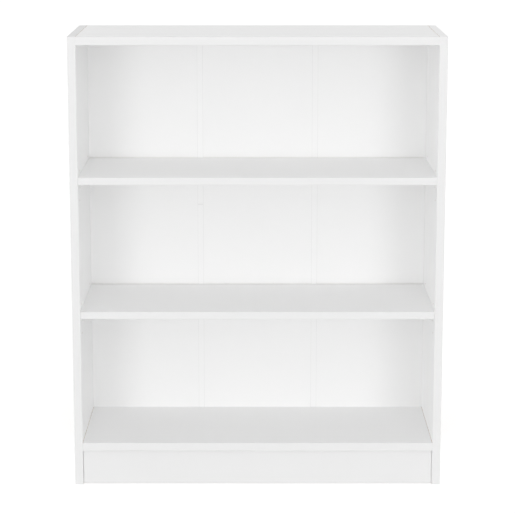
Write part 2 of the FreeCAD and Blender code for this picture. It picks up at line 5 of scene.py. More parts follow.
import bpy
import numpy as np
from bpy.props import FloatProperty, FloatVectorProperty, IntProperty, PointerProperty
from bpy.types import NodeSocket, Operator, Panel, PropertyGroup
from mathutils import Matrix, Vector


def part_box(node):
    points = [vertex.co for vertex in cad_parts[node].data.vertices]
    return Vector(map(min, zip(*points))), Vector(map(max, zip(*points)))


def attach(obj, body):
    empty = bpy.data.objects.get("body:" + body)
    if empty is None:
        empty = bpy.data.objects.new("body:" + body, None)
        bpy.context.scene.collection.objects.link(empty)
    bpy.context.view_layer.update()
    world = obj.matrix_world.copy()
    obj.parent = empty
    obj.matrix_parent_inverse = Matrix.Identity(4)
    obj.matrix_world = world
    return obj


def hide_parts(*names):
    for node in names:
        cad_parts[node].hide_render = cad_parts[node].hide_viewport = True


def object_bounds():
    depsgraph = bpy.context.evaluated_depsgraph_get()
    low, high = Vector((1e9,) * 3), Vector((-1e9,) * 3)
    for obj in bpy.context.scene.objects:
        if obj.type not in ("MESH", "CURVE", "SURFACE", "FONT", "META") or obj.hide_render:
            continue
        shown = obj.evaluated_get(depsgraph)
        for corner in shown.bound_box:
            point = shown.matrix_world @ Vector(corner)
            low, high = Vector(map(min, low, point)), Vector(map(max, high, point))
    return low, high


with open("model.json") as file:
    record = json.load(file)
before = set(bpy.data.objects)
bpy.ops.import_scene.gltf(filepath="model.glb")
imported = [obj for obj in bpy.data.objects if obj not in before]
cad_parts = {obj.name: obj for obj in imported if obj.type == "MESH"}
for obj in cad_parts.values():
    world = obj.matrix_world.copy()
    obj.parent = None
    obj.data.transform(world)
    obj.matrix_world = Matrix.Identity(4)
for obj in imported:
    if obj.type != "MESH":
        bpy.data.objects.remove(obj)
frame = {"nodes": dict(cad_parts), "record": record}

bl_info = {
    "name": "White bookcase looks",
    "version": (1, 0, 0),
    "blender": (4, 5, 0),
    "location": "3D View > Sidebar > Bookcase",
    "description": "Finishes, threaded and fluted fixings and a stage for an open white bookcase",
    "category": "Object",
}

CAD_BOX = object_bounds()
CASE_BODY = "case"
CASE_FRONT = CAD_BOX[0].y
FLOOR_LEVEL = CAD_BOX[0].z
AXES = np.eye(3)

# Steps round a turn, round a flute, along one pitch of thread and across a fixing's head.
TURN_STEPS = 48
FLUTE_STEPS = 8
PITCH_STEPS = 10
HEAD_STEPS = 16

# Edges that bend by more than this are shaded sharp.
SHARP_ANGLE = math.radians(35)

# Power that narrows a thread's ridge, and the blunt end of its point as a share of the thread's radius.
RIDGE_POWER = 1.5
BLUNT_POINT = 0.05

# Shares of a head's radius: its closed middle, the reach of the cross's arms and the fade before that.
HEAD_MIDDLE = 0.03
ARM_REACH = 0.7
ARM_FADE = 0.2

# Run of the cross's sloping walls as a share of an arm's width.
ARM_WALL = 0.15

# Pattern scale along the grain as a share of that across it.
STREAK_STRETCH = 0.06
FLECK_STRETCH = 0.2
STRAND_STRETCH = 0.35
LINE_STRETCH = 0.01

# Noise above this level is a fleck, which takes this much of the dark tone.
FLECK_LEVEL = 0.62
FLECK_TONE = 0.6

# Chips at a board's faces are finer than those in its middle by this factor.
FINE_CHIPS = 2.6

# Sheen of bare chipboard and fibres, of beech and of the floor.
BARE_ROUGHNESS = 0.88
BEECH_ROUGHNESS = 0.6
FLOOR_ROUGHNESS = 0.9

# Like fixings in one node stand further apart than this, and each is thinner.
FIXING_SPACING = 0.05
SCREW_SPACING = 0.005


def nodes_of(slot):
    """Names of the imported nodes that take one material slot."""
    return [row["node"] for row in frame["record"]["subparts"] if row["material_slot"] == slot]


# Settings

def colour(name, description, default):
    """Colour setting."""
    return FloatVectorProperty(
        name=name, description=description, default=default, subtype="COLOR", min=0, max=1
    )


def length(name, description, default):
    """Length setting in metres."""
    return FloatProperty(name=name, description=description, default=default, unit="LENGTH", precision=5)


def share(name, description, default):
    """Setting between 0 and 1."""
    return FloatProperty(name=name, description=description, default=default, subtype="FACTOR", min=0, max=1)


def angle(name, description, degrees):
    """Angle setting, given here in degrees."""
    return FloatProperty(name=name, description=description, default=math.radians(degrees), subtype="ANGLE")


def strength(name, description, default):
    """Brightness setting."""
    return FloatProperty(name=name, description=description, default=default, min=0)


class BoardSettings(PropertyGroup):
    """Faced chipboard and its edging."""

    facing: colour("Facing", "Foil on both faces of a board", (0.95, 0.95, 0.949))
    # Painted shade: the plinth's foil is set darker than the facing of the other boards.
    plinth: colour("Plinth", "Foil on the plinth, darker as painted shade", (0.845, 0.845, 0.844))
    facing_roughness: share("Facing roughness", "Satin sheen of the foil", 0.58)
    facing_skin: length("Facing skin", "Depth of foil seen at a bare edge", 0.0002)
    bare_end: length("Bare end", "Hairline of chipboard at an end that is not wrapped", 0.0005)
    pearl_size: length("Pearl size", "Width of the foil's fine bumps", 0.0011)
    pearl_depth: length("Pearl depth", "Height of the foil's fine bumps", 0.00001)
    chip_size: length("Chip size", "Wood chips in the middle of a board", 0.0032)
    chip_depth: length("Chip depth", "Roughness of a bare edge", 0.0003)
    chip_light: colour("Light chips", "Palest wood chips", (0.60, 0.43, 0.25))
    chip_dark: colour("Dark chips", "Darkest wood chips and glue", (0.24, 0.14, 0.07))
    edging: colour("Edging", "Plastic strip on front edges and top ends", (0.85, 0.85, 0.849))
    # Painted shade and painted light: both top ends carry the same edging, set darker on the left and paler
    # on the right.
    left_end_shade: colour("Left top end", "Strip on the left side's top end, darker as painted shade", (0.76, 0.76, 0.759))
    right_end_light: colour("Right top end", "Strip on the right side's top end, paler as painted light", (0.89, 0.89, 0.889))
    edging_roughness: share("Edging roughness", "Sheen of the plastic strip", 0.38)
    edging_grain: length("Edging grain", "Width of the strip's fine bumps", 0.0009)
    edging_grain_depth: length("Edging grain depth", "Height of the strip's fine bumps", 0.000006)


class BackSettings(PropertyGroup):
    """Hardboard panels and the strips that join them."""

    lacquer: colour("Lacquer", "Front face of the hardboard", (0.95, 0.95, 0.949))
    lacquer_roughness: share("Lacquer roughness", "Sheen of the front face", 0.7)
    lacquer_skin: length("Lacquer skin", "Depth of lacquer seen at an edge", 0.0002)
    lacquer_grain: length("Lacquer grain", "Width of the roller's marks", 0.0014)
    lacquer_grain_depth: length("Lacquer grain depth", "Height of the roller's marks", 0.00001)
    fibre_light: colour("Light fibre", "Palest fibres of the rear face", (0.36, 0.235, 0.13))
    fibre_dark: colour("Dark fibre", "Darkest fibres of the rear face", (0.19, 0.11, 0.055))
    fibre_size: length("Fibre size", "Width of the fibres", 0.0024)
    fibre_depth: length("Fibre depth", "Height of the fibres", 0.00008)
    mesh_pitch: length("Mesh pitch", "Press marks in the rear face", 0.0016)
    mesh_depth: length("Mesh depth", "Height of the press marks", 0.00006)
    strip: colour("Strip", "Drawn plastic joining strips", (0.95, 0.95, 0.949))
    # Painted shade: a darker line along each joining strip's long edges and ends.
    lip_shade: colour("Lip", "Darker line of painted shade on the edges of a strip", (0.80, 0.80, 0.799))
    lip_shade_width: length("Lip width", "Width of that line", 0.0005)
    strip_roughness: share("Strip roughness", "Sheen of the joining strips", 0.36)
    strip_grain: length("Strip grain", "Width of the fine lines along a strip", 0.0006)
    strip_grain_depth: length("Strip grain depth", "Height of the fine lines", 0.000008)


class MouldingSettings(PropertyGroup):
    """Shelf supports and corner blocks."""

    plastic: colour("Plastic", "Moulded supports and corner blocks", (0.84, 0.84, 0.83))
    roughness: share("Roughness", "Sheen of the mouldings", 0.42)
    grain: length("Grain", "Width of the mould's fine bumps", 0.0004)
    grain_depth: length("Grain depth", "Height of the mould's fine bumps", 0.00001)


class DowelSettings(PropertyGroup):
    """Fluted beech dowels."""

    beech_light: colour("Light beech", "Early wood", (0.66, 0.45, 0.27))
    beech_dark: colour("Dark beech", "Late wood and flecks", (0.44, 0.26, 0.13))
    streak_size: length("Streak size", "Width of the grain's streaks", 0.0011)
    streak_depth: length("Streak depth", "Height of the grain's streaks", 0.00005)
    fleck_size: length("Fleck size", "Width of the short dark flecks", 0.00045)
    flute_count: IntProperty(name="Flutes", description="Grooves round a dowel", default=20, min=3)
    flute_depth: length("Flute depth", "Depth of a groove", 0.00035)
    chamfer: length("Chamfer", "Cone at each end", 0.001)


class MetalSettings(PropertyGroup):
    """Skin of the cam locks, bolts, screws and nails."""

    zinc: colour("Zinc", "Die-cast cam locks", (0.50, 0.51, 0.53))
    zinc_roughness: share("Zinc roughness", "Dull cast skin", 0.48)
    zinc_grain: length("Zinc grain", "Width of the casting's fine bumps", 0.0006)
    steel: colour("Steel", "Plated bolts, screws and nails", (0.66, 0.66, 0.66))
    steel_roughness: share("Steel roughness", "Bright plating", 0.3)
    steel_grain: length("Steel grain", "Width of the plating's fine bumps", 0.0003)
    grain_depth: length("Grain depth", "Height of the fine bumps", 0.00001)


class BoltSettings(PropertyGroup):
    """Cam bolt, measured from its threaded end."""

    reach: length("Reach", "Whole bolt", 0.035)
    thread_length: length("Thread length", "Threaded part", 0.0105)
    thread_diameter: length("Thread diameter", "Over the crests", 0.005)
    thread_depth: length("Thread depth", "Crest to root", 0.0006)
    pitch: length("Pitch", "One crest to the next", 0.0022)
    point: length("Point", "Tapered end of the thread", 0.0025)
    collar_start: length("Collar start", "Face that stops against the side", 0.011)
    collar_length: length("Collar length", "Collar", 0.0016)
    collar_diameter: length("Collar diameter", "Collar", 0.0075)
    shank_diameter: length("Shank diameter", "Plain part behind the collar", 0.006)
    neck_start: length("Neck start", "Thin part that the cam lock goes round", 0.0272)
    neck_diameter: length("Neck diameter", "Thin part, and the relief under the collar", 0.004)
    head_start: length("Head start", "Underside of the head", 0.0316)
    head_diameter: length("Head diameter", "Head", 0.0064)
    recess_width: length("Recess width", "Arms of the cross in the head", 0.0009)
    recess_depth: length("Recess depth", "Cross in the head", 0.0013)


class ScrewSettings(PropertyGroup):
    """Corner block screw, measured from its point."""

    reach: length("Reach", "Point to underside of the head", 0.019)
    thread_length: length("Thread length", "Threaded part", 0.014)
    thread_diameter: length("Thread diameter", "Over the crests", 0.0035)
    thread_depth: length("Thread depth", "Crest to root", 0.0005)
    pitch: length("Pitch", "One crest to the next", 0.0014)
    point: length("Point", "Tapered end of the thread", 0.004)
    head_height: length("Head height", "Domed head", 0.0024)
    head_diameter: length("Head diameter", "Domed head", 0.007)
    recess_width: length("Recess width", "Arms of the cross in the head", 0.0009)
    recess_depth: length("Recess depth", "Cross in the head", 0.0013)


class StageSettings(PropertyGroup):
    """Camera, lamps and floor."""

    eye_height: length("Eye height", "Camera above the floor", 1.332)
    eye_distance: length("Eye distance", "Camera in front of the case", 4.074)
    tilt: angle("Tilt", "Camera looking down", 11.43)
    lens: FloatProperty(name="Lens", description="Focal length", default=135.6, min=1, unit="CAMERA")
    front_turn: angle("Front lamp turn", "Each row of front lamps from the middle", 16)
    front_step: angle("Front lamp step", "One lamp to the next in a row", 5)
    front_height: angle("Front lamp height", "Front lamps above the horizon", 3.3)
    front_spread: angle("Front lamp spread", "Width of a front lamp seen from the case", 6.5)
    front_strength: strength("Front lamp strength", "Light of each front lamp", 0.122)
    upper_height: angle("Upper lamp height", "Upper lamp above the horizon", 25)
    upper_spread: angle("Upper lamp spread", "Width of the upper lamp seen from the case", 50)
    upper_strength: strength("Upper lamp strength", "Light of the upper lamp", 0.25)
    fill_height: angle("Fill height", "Side fills above the horizon", 10)
    fill_spread: angle("Fill spread", "Width of a side fill seen from the case", 60)
    left_fill: strength("Left fill", "Light from the left", 0.5)
    right_fill: strength("Right fill", "Light from the right", 0.3)
    ambient: strength("Ambient", "Light from all round", 0.7)
    floor: colour("Floor", "Pale studio floor", (0.75, 0.75, 0.75))
    floor_lift: strength("Floor lift", "Brightness added to the floor as the camera sees it", 0.45)
    floor_reach: length("Floor reach", "Half the side of the floor", 30.0)


class BookcaseSettings(PropertyGroup):
    """All settings of the bookcase."""

    boards: PointerProperty(type=BoardSettings)
    back: PointerProperty(type=BackSettings)
    mouldings: PointerProperty(type=MouldingSettings)
    dowels: PointerProperty(type=DowelSettings)
    metal: PointerProperty(type=MetalSettings)
    bolts: PointerProperty(type=BoltSettings)
    screws: PointerProperty(type=ScrewSettings)
    stage: PointerProperty(type=StageSettings)


# Node trees

def opaque(rgb):
    """Colour setting as a node's colour."""
    return (*rgb, 1.0)


def add_node(tree, kind, inputs, **settings):
    """Add a node; inputs maps a socket's name or number to a value or to another node's output."""
    node = tree.nodes.new(kind)
    for name, value in settings.items():
        setattr(node, name, value)
    for key, value in inputs.items():
        if isinstance(value, NodeSocket):
            tree.links.new(value, node.inputs[key])
        else:
            node.inputs[key].default_value = value
    return node


def calculate(tree, operation, *values):
    """Output of a Math node."""
    return add_node(tree, "ShaderNodeMath", dict(enumerate(values)), operation=operation).outputs[0]


def mix_values(tree, factor, first, second):
    """First value where the factor is 0, second where it is 1."""
    return add_node(tree, "ShaderNodeMix", {0: factor, 2: first, 3: second}).outputs[0]


def mix_colours(tree, factor, first, second):
    """First colour where the factor is 0, second where it is 1."""
    return add_node(tree, "ShaderNodeMix", {0: factor, 6: first, 7: second}, data_type="RGBA").outputs[2]


def noise(tree, vector, scale, detail=2.0):
    """Soft noise between 0 and 1."""
    return add_node(
        tree, "ShaderNodeTexNoise", {"Vector": vector, "Scale": scale, "Detail": detail}
    ).outputs["Fac"]


def stretched(tree, vector, scale):
    """Coordinates scaled along each axis."""
    return add_node(tree, "ShaderNodeMapping", {"Vector": vector, "Scale": scale}).outputs[0]


def new_group(name, inputs, outputs):
    """Shader node group with named sockets: returns the group, its inputs and its output node."""
    group = bpy.data.node_groups.new(name, "ShaderNodeTree")
    for socket, kind in inputs.items():
        group.interface.new_socket(socket, in_out="INPUT", socket_type=f"NodeSocket{kind}")
    for socket, kind in outputs.items():
        group.interface.new_socket(socket, in_out="OUTPUT", socket_type=f"NodeSocket{kind}")
    return group, group.nodes.new("NodeGroupInput").outputs, group.nodes.new("NodeGroupOutput")


def tone_drift_group(name):
    """Slow change of tone over a surface."""
    group, given, result = new_group(
        name, {"Vector": "Vector", "Color": "Color", "Scale": "Float", "Amount": "Float"}, {"Color": "Color"}
    )
    drift = calculate(group, "SUBTRACT", noise(group, given["Vector"], given["Scale"], 3.0), 0.5)
    value = calculate(group, "MULTIPLY_ADD", drift, given["Amount"], 1.0)
    shifted = add_node(group, "ShaderNodeHueSaturation", {"Value": value, "Color": given["Color"]})
    group.links.new(shifted.outputs[0], result.inputs["Color"])
    return group


def sheen_drift_group(name):
    """Roughness that wanders about a base, as on a wiped and handled surface."""
    group, given, result = new_group(
        name,
        {"Vector": "Vector", "Base": "Float", "Spread": "Float", "Scale": "Float"},
        {"Roughness": "Float"},
    )
    drift = calculate(group, "SUBTRACT", noise(group, given["Vector"], given["Scale"], 4.0), 0.5)
    rough = calculate(group, "MULTIPLY_ADD", drift, given["Spread"], given["Base"])
    group.links.new(rough, result.inputs["Roughness"])
    return group


def fine_grain_group(name):
    """Fine bumps: rounded cells broken up by noise."""
    group, given, result = new_group(name, {"Vector": "Vector", "Scale": "Float"}, {"Height": "Float"})
    spread = {"Vector": given["Vector"], "Scale": given["Scale"]}
    cells = add_node(group, "ShaderNodeTexVoronoi", spread, feature="SMOOTH_F1")
    height = mix_values(group, 0.5, cells.outputs["Distance"], noise(group, given["Vector"], given["Scale"]))
    group.links.new(height, result.inputs["Height"])
    return group


def section_group(name):
    """Place across a piece: Core is 1 between its two skins, Depth is 0 in the middle and 1 at a face."""
    group, given, result = new_group(
        name,
        {"Vector": "Vector", "Across": "Vector", "Middle": "Float", "Half": "Float", "Skin": "Float"},
        {"Core": "Float", "Depth": "Float"},
    )
    along = add_node(
        group, "ShaderNodeVectorMath", {0: given["Vector"], 1: given["Across"]}, operation="DOT_PRODUCT"
    ).outputs["Value"]
    place = calculate(group, "ABSOLUTE", along)
    offset = calculate(group, "ABSOLUTE", calculate(group, "SUBTRACT", place, given["Middle"]))
    limit = calculate(group, "SUBTRACT", given["Half"], given["Skin"])
    group.links.new(calculate(group, "LESS_THAN", offset, limit), result.inputs["Core"])
    group.links.new(calculate(group, "DIVIDE", offset, given["Half"]), result.inputs["Depth"])
    return group


def chipboard_group(name):
    """Bare chipboard: coarse chips at mid-thickness, finer ones towards the faces."""
    group, given, result = new_group(
        name,
        {"Vector": "Vector", "Scale": "Float", "Light": "Color", "Dark": "Color", "Depth": "Float"},
        {"Color": "Color", "Height": "Float"},
    )
    fineness = calculate(group, "MULTIPLY", given["Scale"], FINE_CHIPS)
    layers = []
    for scale in (given["Scale"], fineness):
        cells = add_node(group, "ShaderNodeTexVoronoi", {"Vector": given["Vector"], "Scale": scale})
        shade = add_node(group, "ShaderNodeSeparateColor", {"Color": cells.outputs["Color"]}).outputs[0]
        layers.append((shade, cells.outputs["Distance"]))
    outer = calculate(group, "POWER", given["Depth"], 2.0)
    shade = mix_values(group, outer, layers[0][0], layers[1][0])
    height = mix_values(group, outer, layers[0][1], layers[1][1])
    group.links.new(mix_colours(group, shade, given["Dark"], given["Light"]), result.inputs["Color"])
    group.links.new(height, result.inputs["Height"])
    return group


GROUPS = {
    "Tone drift": tone_drift_group,
    "Sheen drift": sheen_drift_group,
    "Fine grain": fine_grain_group,
    "Section": section_group,
    "Chipboard": chipboard_group,
}


def grouped(tree, name, inputs):
    """Outputs of a group placed in a tree, building the group the first time it is asked for."""
    group = bpy.data.node_groups.get(name) or GROUPS[name](name)
    return add_node(tree, "ShaderNodeGroup", inputs, node_tree=group).outputs


def new_material(name):
    """Material with an empty Principled shader: returns it, its tree, its shader and Object coordinates."""
    material = bpy.data.materials.new(name)
    material.use_nodes = True
    tree = material.node_tree
    coordinates = tree.nodes.new("ShaderNodeTexCoord").outputs["Object"]
    return material, tree, tree.nodes["Principled BSDF"], coordinates


def finish_shader(tree, shader, base, roughness, height, depth):
    """Wire colour, roughness and a bump of the given depth in metres to a shader."""
    bump = add_node(tree, "ShaderNodeBump", {"Height": height, "Distance": depth})
    tree.links.new(base, shader.inputs["Base Color"])
    tree.links.new(roughness, shader.inputs["Roughness"])
    tree.links.new(bump.outputs["Normal"], shader.inputs["Normal"])


# Finishes

def section_of(tree, where, node, across, skin):
    """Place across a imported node, and across its mirror image, along one axis."""
    low, high = (corner[across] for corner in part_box(node))
    return grouped(tree, "Section", {
        "Vector": where, "Across": AXES[across], "Middle": abs(high + low) / 2, "Half": (high - low) / 2,
        "Skin": skin,
    })


def faced_board(name, settings, facing, node, wrapped=False):
    """White foil on a board's faces, and on the ends of a wrapped one, with bare chipboard between.

    The foil stops a hairline short of ends that are not wrapped.
    """
    material, tree, shader, where = new_material(name)
    low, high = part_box(node)
    extent = high - low
    section = section_of(tree, where, node, int(np.argmin(extent)), settings.facing_skin)
    end = settings.facing_skin if wrapped else settings.bare_end
    inner = section_of(tree, where, node, int(np.argmax(extent)), end)["Core"]
    foil = grouped(tree, "Tone drift", {
        "Vector": where, "Color": opaque(facing), "Scale": 5.0, "Amount": 0.02,
    })
    chips = grouped(tree, "Chipboard", {
        "Vector": where, "Scale": 1 / settings.chip_size, "Light": opaque(settings.chip_light),
        "Dark": opaque(settings.chip_dark), "Depth": section["Depth"],
    })
    sheen = grouped(tree, "Sheen drift", {
        "Vector": where, "Base": settings.facing_roughness, "Spread": 0.14, "Scale": 9.0,
    })
    pearl = grouped(tree, "Fine grain", {"Vector": where, "Scale": 1 / settings.pearl_size})
    chip_height = calculate(tree, "MULTIPLY", chips["Height"], settings.chip_depth / settings.pearl_depth)
    if wrapped:
        bare = calculate(tree, "MULTIPLY", section["Core"], inner)
    else:
        bare = calculate(tree, "MAXIMUM", section["Core"], calculate(tree, "SUBTRACT", 1.0, inner))
    finish_shader(
        tree, shader,
        mix_colours(tree, bare, foil["Color"], chips["Color"]),
        mix_values(tree, bare, sheen["Roughness"], BARE_ROUGHNESS),
        mix_values(tree, bare, pearl["Height"], chip_height),
        settings.pearl_depth,
    )
    return material


def plain_white(name, base, roughness, grain_size, grain_depth):
    """White plastic: slow drift of tone and sheen, and a fine grain."""
    material, tree, shader, where = new_material(name)
    tone = grouped(tree, "Tone drift", {
        "Vector": where, "Color": opaque(base), "Scale": 7.0, "Amount": 0.015,
    })
    sheen = grouped(tree, "Sheen drift", {"Vector": where, "Base": roughness, "Spread": 0.1, "Scale": 14.0})
    grain = grouped(tree, "Fine grain", {"Vector": where, "Scale": 1 / grain_size})
    finish_shader(tree, shader, tone["Color"], sheen["Roughness"], grain["Height"], grain_depth)
    return material


def joining_strip(name, settings, node):
    """Drawn white plastic: fine lines along its length, and a darker line of painted shade on its long edges
    and its ends.
    """
    material, tree, shader, where = new_material(name)
    clear_of_lip_shade = [section_of(tree, where, node, axis, settings.lip_shade_width)["Core"] for axis in (0, 2)]
    tone = grouped(tree, "Tone drift", {
        "Vector": where, "Color": opaque(settings.strip), "Scale": 7.0, "Amount": 0.015,
    })
    sheen = grouped(tree, "Sheen drift", {
        "Vector": where, "Base": settings.strip_roughness, "Spread": 0.1, "Scale": 14.0,
    })
    lines = grouped(tree, "Fine grain", {
        "Vector": stretched(tree, where, (1, 1, LINE_STRETCH)), "Scale": 1 / settings.strip_grain,
    })
    # The darker lip colour near the strip's edges is painted shade.
    base = mix_colours(tree, calculate(tree, "MULTIPLY", *clear_of_lip_shade), opaque(settings.lip_shade), tone["Color"])
    finish_shader(tree, shader, base, sheen["Roughness"], lines["Height"], settings.strip_grain_depth)
    return material


def hardboard(name, settings, node):
    """White lacquer on the front face; brown fibres with the press mesh's marks on the rear and edges."""
    material, tree, shader, where = new_material(name)
    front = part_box(node)[0].y
    place = add_node(tree, "ShaderNodeSeparateXYZ", {0: where}).outputs
    bare = calculate(tree, "GREATER_THAN", place["Y"], front + settings.lacquer_skin)
    lacquer = grouped(tree, "Tone drift", {
        "Vector": where, "Color": opaque(settings.lacquer), "Scale": 4.0, "Amount": 0.02,
    })
    strands = noise(tree, stretched(tree, where, (1, 1, STRAND_STRETCH)), 1 / settings.fibre_size, 5.0)
    fibre = mix_colours(tree, strands, opaque(settings.fibre_dark), opaque(settings.fibre_light))
    clouds = grouped(tree, "Tone drift", {"Vector": where, "Color": fibre, "Scale": 9.0, "Amount": 0.35})
    turn = 2 * math.pi / settings.mesh_pitch
    waves = [calculate(tree, "SINE", calculate(tree, "MULTIPLY", place[axis], turn)) for axis in ("X", "Z")]
    marks = calculate(tree, "MULTIPLY", *waves)
    depth = settings.lacquer_grain_depth
    fibre_height = calculate(tree, "MULTIPLY", strands, settings.fibre_depth / depth)
    relief = calculate(tree, "MULTIPLY_ADD", marks, settings.mesh_depth / depth, fibre_height)
    sheen = grouped(tree, "Sheen drift", {
        "Vector": where, "Base": settings.lacquer_roughness, "Spread": 0.12, "Scale": 8.0,
    })
    rolled = grouped(tree, "Fine grain", {"Vector": where, "Scale": 1 / settings.lacquer_grain})
    finish_shader(
        tree, shader,
        mix_colours(tree, bare, lacquer["Color"], clouds["Color"]),
        mix_values(tree, bare, sheen["Roughness"], BARE_ROUGHNESS),
        mix_values(tree, bare, rolled["Height"], relief),
        depth,
    )
    return material


def plated_metal(name, base, roughness, grain_size, grain_depth):
    """Metal with a patchy sheen and fine grain."""
    material, tree, shader, where = new_material(name)
    shader.inputs["Metallic"].default_value = 1.0
    tone = grouped(tree, "Tone drift", {
        "Vector": where, "Color": opaque(base), "Scale": 260.0, "Amount": 0.25,
    })
    sheen = grouped(tree, "Sheen drift", {
        "Vector": where, "Base": roughness, "Spread": 0.25, "Scale": 500.0,
    })
    grain = grouped(tree, "Fine grain", {"Vector": where, "Scale": 1 / grain_size})
    finish_shader(tree, shader, tone["Color"], sheen["Roughness"], grain["Height"], grain_depth)
    return material


def beech(name, settings, along):
    """Beech whose grain runs along one axis: fine streaks with short darker flecks."""
    material, tree, shader, where = new_material(name)
    streak_scale = np.where(np.arange(3) == along, STREAK_STRETCH, 1.0)
    fleck_scale = np.where(np.arange(3) == along, FLECK_STRETCH, 1.0)
    streaks = noise(tree, stretched(tree, where, streak_scale), 1 / settings.streak_size, 4.0)
    flecks = noise(tree, stretched(tree, where, fleck_scale), 1 / settings.fleck_size, 1.0)
    marked = calculate(tree, "MULTIPLY", calculate(tree, "GREATER_THAN", flecks, FLECK_LEVEL), FLECK_TONE)
    amount = calculate(tree, "MAXIMUM", streaks, marked)
    base = mix_colours(tree, amount, opaque(settings.beech_light), opaque(settings.beech_dark))
    sheen = grouped(tree, "Sheen drift", {
        "Vector": where, "Base": BEECH_ROUGHNESS, "Spread": 0.2, "Scale": 300.0,
    })
    finish_shader(tree, shader, base, sheen["Roughness"], streaks, settings.streak_depth)
    return material


def dress(nodes, material):
    """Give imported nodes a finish."""
    for node in nodes:
        frame["nodes"][node].material_slots[0].material = material


# Shapes

def separate_boxes(node, gaps):
    """Boxes of a node's separate solids, found by cutting its points apart at gaps along each axis named."""
    mesh = frame["nodes"][node].data
    points = np.empty(len(mesh.vertices) * 3)
    mesh.vertices.foreach_get("co", points)
    groups = [points.reshape(-1, 3)]
    for axis, gap in gaps.items():
        parted = []
        for group in groups:
            ordered = group[np.argsort(group[:, axis])]
            breaks = np.flatnonzero(np.diff(ordered[:, axis]) > gap) + 1
            parted += np.split(ordered, breaks)
        groups = parted
    return np.array([(group.min(axis=0), group.max(axis=0)) for group in groups])


def turned_points(radius, height, turn):
    """Surface round the Z axis: each point stands at its radius, height and turn from the X axis."""
    return np.stack([radius * np.cos(turn), radius * np.sin(turn), height + 0 * turn], axis=-1)


def closed_rings(points):
    """Vertices and triangles of a closed skin over rings of points, with a pole at each end."""
    rows, columns = points.shape[:2]
    corner = np.arange(rows * columns).reshape(rows, columns)
    beside = np.roll(corner, -1, axis=1)
    lower, upper = slice(0, -1), slice(1, None)
    first_pole, last_pole = rows * columns, rows * columns + 1
    faces = [
        np.stack([corner[lower], beside[lower], beside[upper]], axis=-1).reshape(-1, 3),
        np.stack([corner[lower], beside[upper], corner[upper]], axis=-1).reshape(-1, 3),
        np.stack([np.full(columns, first_pole), beside[0], corner[0]], axis=-1),
        np.stack([np.full(columns, last_pole), corner[-1], beside[-1]], axis=-1),
    ]
    vertices = np.vstack([points.reshape(-1, 3), points[0].mean(axis=0), points[-1].mean(axis=0)])
    return vertices, np.vstack(faces)


def full_turn(steps):
    """Even steps round one turn, as a row."""
    return np.linspace(0, 2 * np.pi, steps, endpoint=False)[None, :]


def fluted_dowel(dowel_length, radius, dowels):
    """Dowel skin: the radius dips by a squared cosine in each flute and narrows to a cone at each end."""
    turn = full_turn(dowels.flute_count * FLUTE_STEPS)
    first_half = dowels.chamfer * np.arange(3)
    height = np.append(first_half, dowel_length - first_half[::-1])
    narrowing = dowels.chamfer * np.array([1, 0, 0, 0, 0, 1])
    fluting = np.array([0, 0, 1, 1, 0, 0])
    dip = dowels.flute_depth * (0.5 - 0.5 * np.cos(dowels.flute_count * turn)) ** 2
    skin = radius - narrowing[:, None] - fluting[:, None] * dip
    return closed_rings(turned_points(skin, height[:, None], turn))


def threaded_end(fixing, turn):
    """Threaded rod: a ridge that climbs one pitch a turn, scaled by a taper that grows along the point."""
    rows = math.ceil(PITCH_STEPS * fixing.thread_length / fixing.pitch)
    height = np.linspace(0, fixing.thread_length, rows)[:, None]
    phase = np.mod(height / fixing.pitch - turn / (2 * np.pi), 1.0)
    ridge = np.abs(2 * phase - 1) ** RIDGE_POWER
    radius = fixing.thread_diameter / 2 - fixing.thread_depth * (1 - ridge)
    taper = np.clip(height / fixing.point, BLUNT_POINT, 1.0)
    return turned_points(radius * taper, height, turn)


def stepped_rod(rings, turn):
    """Plain turned rod: one ring for each pair of diameter and height."""
    diameter, height = np.array(rings).T[:, :, None]
    return turned_points(diameter / 2 + 0 * turn, height, turn)


def recessed_end(fixing, base, rise, turn):
    """End face over a flattened dome, lowered inside a cross whose arms fade out towards the rim."""
    share_out = np.linspace(1.0, HEAD_MIDDLE, HEAD_STEPS)[:, None]
    dome = base + rise * np.sqrt(1 - share_out ** 4)
    radius = fixing.head_diameter / 2 * share_out
    beside_arm = radius * np.minimum(np.abs(np.cos(turn)), np.abs(np.sin(turn)))
    inside = np.clip((fixing.recess_width / 2 - beside_arm) / (ARM_WALL * fixing.recess_width), 0, 1)
    fade = np.clip((ARM_REACH - share_out) / ARM_FADE, 0, 1)
    return turned_points(radius + 0 * turn, dome - fixing.recess_depth * inside * fade, turn)


def cam_bolt(bolt):
    """Cam bolt from its thread up: tapered thread, collar, shank, neck and head with a cross recess."""
    turn = full_turn(TURN_STEPS)
    collar_end = bolt.collar_start + bolt.collar_length
    steps = (
        (bolt.neck_diameter, bolt.thread_length, bolt.collar_start),
        (bolt.collar_diameter, bolt.collar_start, collar_end),
        (bolt.shank_diameter, collar_end, bolt.neck_start),
        (bolt.neck_diameter, bolt.neck_start, bolt.head_start),
    )
    rings = [(diameter, level) for diameter, low, high in steps for level in (low, high)]
    rings.append((bolt.head_diameter, bolt.head_start))
    head = recessed_end(bolt, bolt.reach, 0, turn)
    return closed_rings(np.vstack([threaded_end(bolt, turn), stepped_rod(rings, turn), head]))


def block_screw(screw):
    """Screw from its point up: tapered thread, plain shank and a domed head with a cross recess."""
    turn = full_turn(TURN_STEPS)
    shank = screw.thread_diameter - screw.thread_depth
    rings = [(shank, screw.thread_length), (shank, screw.reach)]
    head = recessed_end(screw, screw.reach, screw.head_height, turn)
    return closed_rings(np.vstack([threaded_end(screw, turn), stepped_rod(rings, turn), head]))


